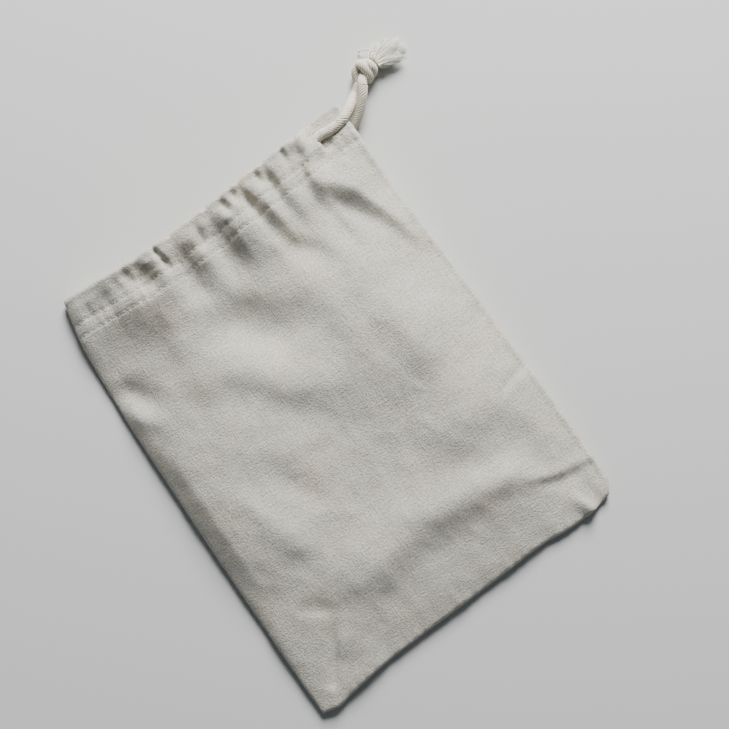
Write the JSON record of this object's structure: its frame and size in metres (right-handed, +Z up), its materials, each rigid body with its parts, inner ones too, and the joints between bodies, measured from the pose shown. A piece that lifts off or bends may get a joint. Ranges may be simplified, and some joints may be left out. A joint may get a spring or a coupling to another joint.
{
  "type": "drawstring bag",
  "caption": "Small drawstring bag of unbleached cotton canvas, lying flat, with its cord tied in a knot and frayed at the end.",
  "frame": {"origin": "middle of the bag's length and width, on the surface that it lies on", "axes": "+Y from the bottom seam to the mouth, +X from the folded side to the side seam, +Z up from the surface"},
  "size_m": [0.1871, 0.2228, 0.02],
  "materials": {
    "canvas": "unbleached plain-weave cotton, matt",
    "cord": "soft twisted cotton, matt"
  },
  "bodies": {
    "root": {"bag_cloth": "canvas", "drawstring": "cord", "knot": "cord", "frayed_end": "cord"}
  },
  "joints": []
}
